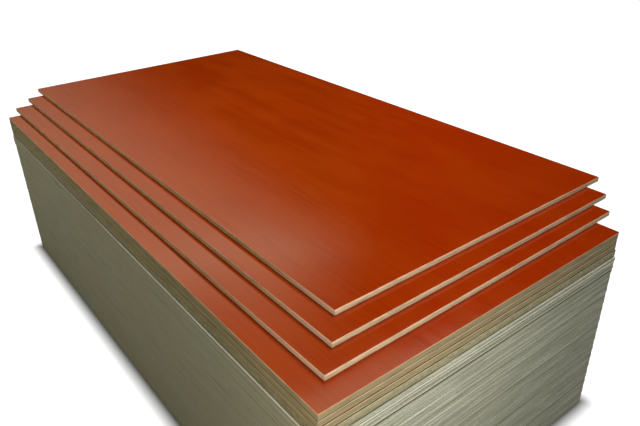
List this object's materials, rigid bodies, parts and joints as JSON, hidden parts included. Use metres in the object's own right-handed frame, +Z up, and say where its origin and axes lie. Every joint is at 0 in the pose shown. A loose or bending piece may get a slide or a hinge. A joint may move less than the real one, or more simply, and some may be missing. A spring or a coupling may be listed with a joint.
{
  "type": "stack of plywood sheets",
  "caption": "Flat stack of film-faced plywood sheets: a close pile with painted edges, raw-edged sheets on it, and loose sheets fanned out on top.",
  "frame": {"origin": "centre of the underside of the lowest sheet, on the floor", "axes": "+X along the sheets, +Y across them, +Z up. The loose sheets are fanned out towards -X and +Y."},
  "size_m": [2.6576, 1.4397, 0.7798],
  "materials": {
    "sealed_sheet": "plywood with red-brown resin film faces and edges sealed with matt grey-green paint, streaked along the sheet",
    "raw_edged_sheet": "plywood with glossy red-brown resin film faces, faint grain showing through, and bare sawn edges with the veneers as light and dark lines"
  },
  "bodies": {
    "root": {"sealed_sheet_01": "sealed_sheet", "sealed_sheet_02": "sealed_sheet", "sealed_sheet_03": "sealed_sheet", "sealed_sheet_04": "sealed_sheet", "sealed_sheet_05": "sealed_sheet", "sealed_sheet_06": "sealed_sheet", "sealed_sheet_07": "sealed_sheet", "sealed_sheet_08": "sealed_sheet", "sealed_sheet_09": "sealed_sheet", "sealed_sheet_10": "sealed_sheet", "sealed_sheet_11": "sealed_sheet", "sealed_sheet_12": "sealed_sheet", "sealed_sheet_13": "sealed_sheet", "sealed_sheet_14": "sealed_sheet", "sealed_sheet_15": "sealed_sheet", "sealed_sheet_16": "sealed_sheet", "sealed_sheet_17": "sealed_sheet", "sealed_sheet_18": "sealed_sheet", "sealed_sheet_19": "sealed_sheet", "sealed_sheet_20": "sealed_sheet", "sealed_sheet_21": "sealed_sheet", "sealed_sheet_22": "sealed_sheet", "sealed_sheet_23": "sealed_sheet", "sealed_sheet_24": "sealed_sheet", "sealed_sheet_25": "sealed_sheet", "sealed_sheet_26": "sealed_sheet", "sealed_sheet_27": "sealed_sheet", "sealed_sheet_28": "sealed_sheet", "sealed_sheet_29": "sealed_sheet", "sealed_sheet_30": "sealed_sheet", "sealed_sheet_31": "sealed_sheet", "sealed_sheet_32": "sealed_sheet", "sealed_sheet_33": "sealed_sheet", "sealed_sheet_34": "sealed_sheet", "sealed_sheet_35": "sealed_sheet", "sealed_sheet_36": "sealed_sheet", "sealed_sheet_37": "sealed_sheet", "sealed_sheet_38": "sealed_sheet", "sealed_sheet_39": "sealed_sheet", "sealed_sheet_40": "sealed_sheet", "sealed_sheet_41": "sealed_sheet", "raw_sheet_1": "raw_edged_sheet", "raw_sheet_2": "raw_edged_sheet", "raw_sheet_3": "raw_edged_sheet", "raw_sheet_4": "raw_edged_sheet", "loose_sheet_1": "raw_edged_sheet", "loose_sheet_2": "raw_edged_sheet", "loose_sheet_3": "raw_edged_sheet"}
  },
  "joints": []
}
